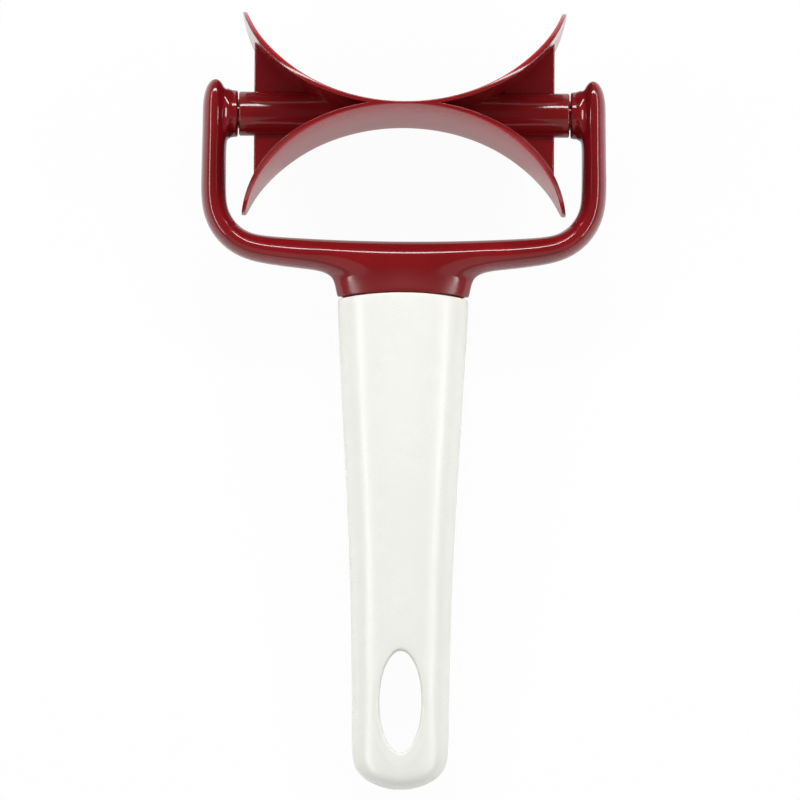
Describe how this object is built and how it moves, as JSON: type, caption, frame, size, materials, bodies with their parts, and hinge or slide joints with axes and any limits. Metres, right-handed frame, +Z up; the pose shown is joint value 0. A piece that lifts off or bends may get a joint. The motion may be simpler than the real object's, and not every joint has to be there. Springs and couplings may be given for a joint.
{
  "type": "rolling cookie cutter",
  "caption": "Hand-held rolling cookie cutter: back-to-back trough-shaped round cutters on a roller that spins in a forked yoke, with a tapered oval handle and a hanging hole.",
  "frame": {"origin": "on the worktop under the middle of the tool, halfway along its length", "axes": "+X along the roller's axle, +Y from the handle's end towards the roller, +Z up from the worktop that the tool lies on"},
  "size_m": [0.1016, 0.1936, 0.051],
  "materials": {
    "white_plastic": "gloss, moulded",
    "red_plastic": "gloss, moulded"
  },
  "bodies": {
    "frame": {"handle_sleeve": "white_plastic", "yoke": "red_plastic", "left_pivot_pin": "red_plastic", "right_pivot_pin": "red_plastic"},
    "roller": {"cutter_roller": "red_plastic"}
  },
  "joints": [
    {"name": "roller_spin", "type": "hinge", "parent": "frame", "child": "roller", "pos_m": [0, 0.07126, 0.0255], "axis": [1, 0, 0], "continuous": true}
  ]
}
